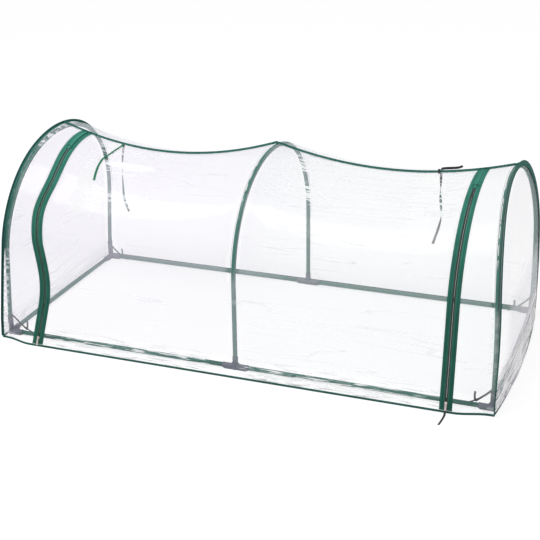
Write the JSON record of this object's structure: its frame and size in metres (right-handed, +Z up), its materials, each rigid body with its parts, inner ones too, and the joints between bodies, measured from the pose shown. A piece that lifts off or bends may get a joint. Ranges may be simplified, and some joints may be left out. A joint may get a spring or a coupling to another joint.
{
  "type": "row cover tunnel",
  "caption": "Low garden tunnel of clear film over sprung tube hoops and a ground frame, with a zipped front panel that rolls up and ties along the ridge.",
  "frame": {"origin": "on the ground, under the middle of the object's box", "axes": "+X along the tunnel to the right seen from the zipped front, +Y to the back, +Z up"},
  "size_m": [2.084, 1.1027, 0.7815],
  "materials": {
    "tube": "smooth plastic coating, satin",
    "connector": "moulded, satin",
    "film": "clear soft film, glossy, with creases",
    "tape": "woven tape, matt",
    "coil": "nylon monofilament",
    "metal": "nickel plated, worn bright"
  },
  "bodies": {
    "frame": {"base_rail_front_left": "tube", "base_rail_front_right": "tube", "base_rail_back_left": "tube", "base_rail_back_right": "tube", "end_rail_left": "tube", "end_rail_right": "tube", "hoop_left_front_leg": "tube", "hoop_left_crown": "tube", "hoop_left_back_leg": "tube", "hoop_middle_front_leg": "tube", "hoop_middle_crown": "tube", "hoop_middle_back_leg": "tube", "hoop_right_front_leg": "tube", "hoop_right_crown": "tube", "hoop_right_back_leg": "tube", "corner_connector_front_left": "connector", "corner_connector_front_right": "connector", "corner_connector_back_left": "connector", "corner_connector_back_right": "connector", "tee_connector_front": "connector", "tee_connector_back": "connector", "cover_back_sheet": "film", "cover_end_sheet_left": "film", "cover_end_sheet_right": "film", "cover_front_strip_left": "film", "cover_front_strip_right": "film", "ridge_binding": "tape", "arch_binding_left": "tape", "arch_binding_right": "tape", "cover_hem_binding": "tape", "zip_tape_left_cover": "tape", "zip_tape_right_cover": "tape", "zip_coil_left_cover": "coil", "zip_coil_right_cover": "coil", "tie_tape_left_inside": "tape", "tie_tape_right_inside": "tape", "tie_tape_right_outside": "tape", "corner_tie_front_left": "tape", "corner_tie_front_right": "tape", "corner_tie_back_left": "tape", "corner_tie_back_right": "tape"},
    "door": {"door_panel": "film", "door_hem_binding": "tape", "zip_tape_left_door": "tape", "zip_tape_right_door": "tape", "zip_coil_left_door": "coil", "zip_coil_right_door": "coil", "tie_tape_left_outside": "tape"},
    "slider_left": {"zip_slider_left": "metal"},
    "slider_right": {"zip_slider_right": "metal"},
    "pull_left": {"zip_pull_left": "metal"},
    "pull_right": {"zip_pull_right": "metal", "zip_pull_ribbon_right": "tape"}
  },
  "joints": [
    {"name": "door_lift", "type": "hinge", "parent": "frame", "child": "door", "pos_m": [0, 0.113, 0.782], "axis": [-1, 0, 0], "range_deg": [0, 95]},
    {"name": "zip_left_slide", "type": "slide", "parent": "door", "child": "slider_left", "axis": [0.1611, 0.1809, 0.9702], "range_m": [0, 0.12]},
    {"name": "zip_right_slide", "type": "slide", "parent": "door", "child": "slider_right", "axis": [-0.0117, 0.1781, 0.9839], "range_m": [0, 0.36]},
    {"name": "pull_left_swing", "type": "hinge", "parent": "slider_left", "child": "pull_left", "pos_m": [-0.83068, -0.45725, 0.0329], "axis": [-0.9869, 0.0292, 0.1584], "range_deg": [0, 165]},
    {"name": "pull_right_swing", "type": "hinge", "parent": "slider_right", "child": "pull_right", "pos_m": [0.84262, -0.45736, 0.03287], "axis": [-0.9999, -0.0021, -0.0115], "range_deg": [0, 85]}
  ]
}
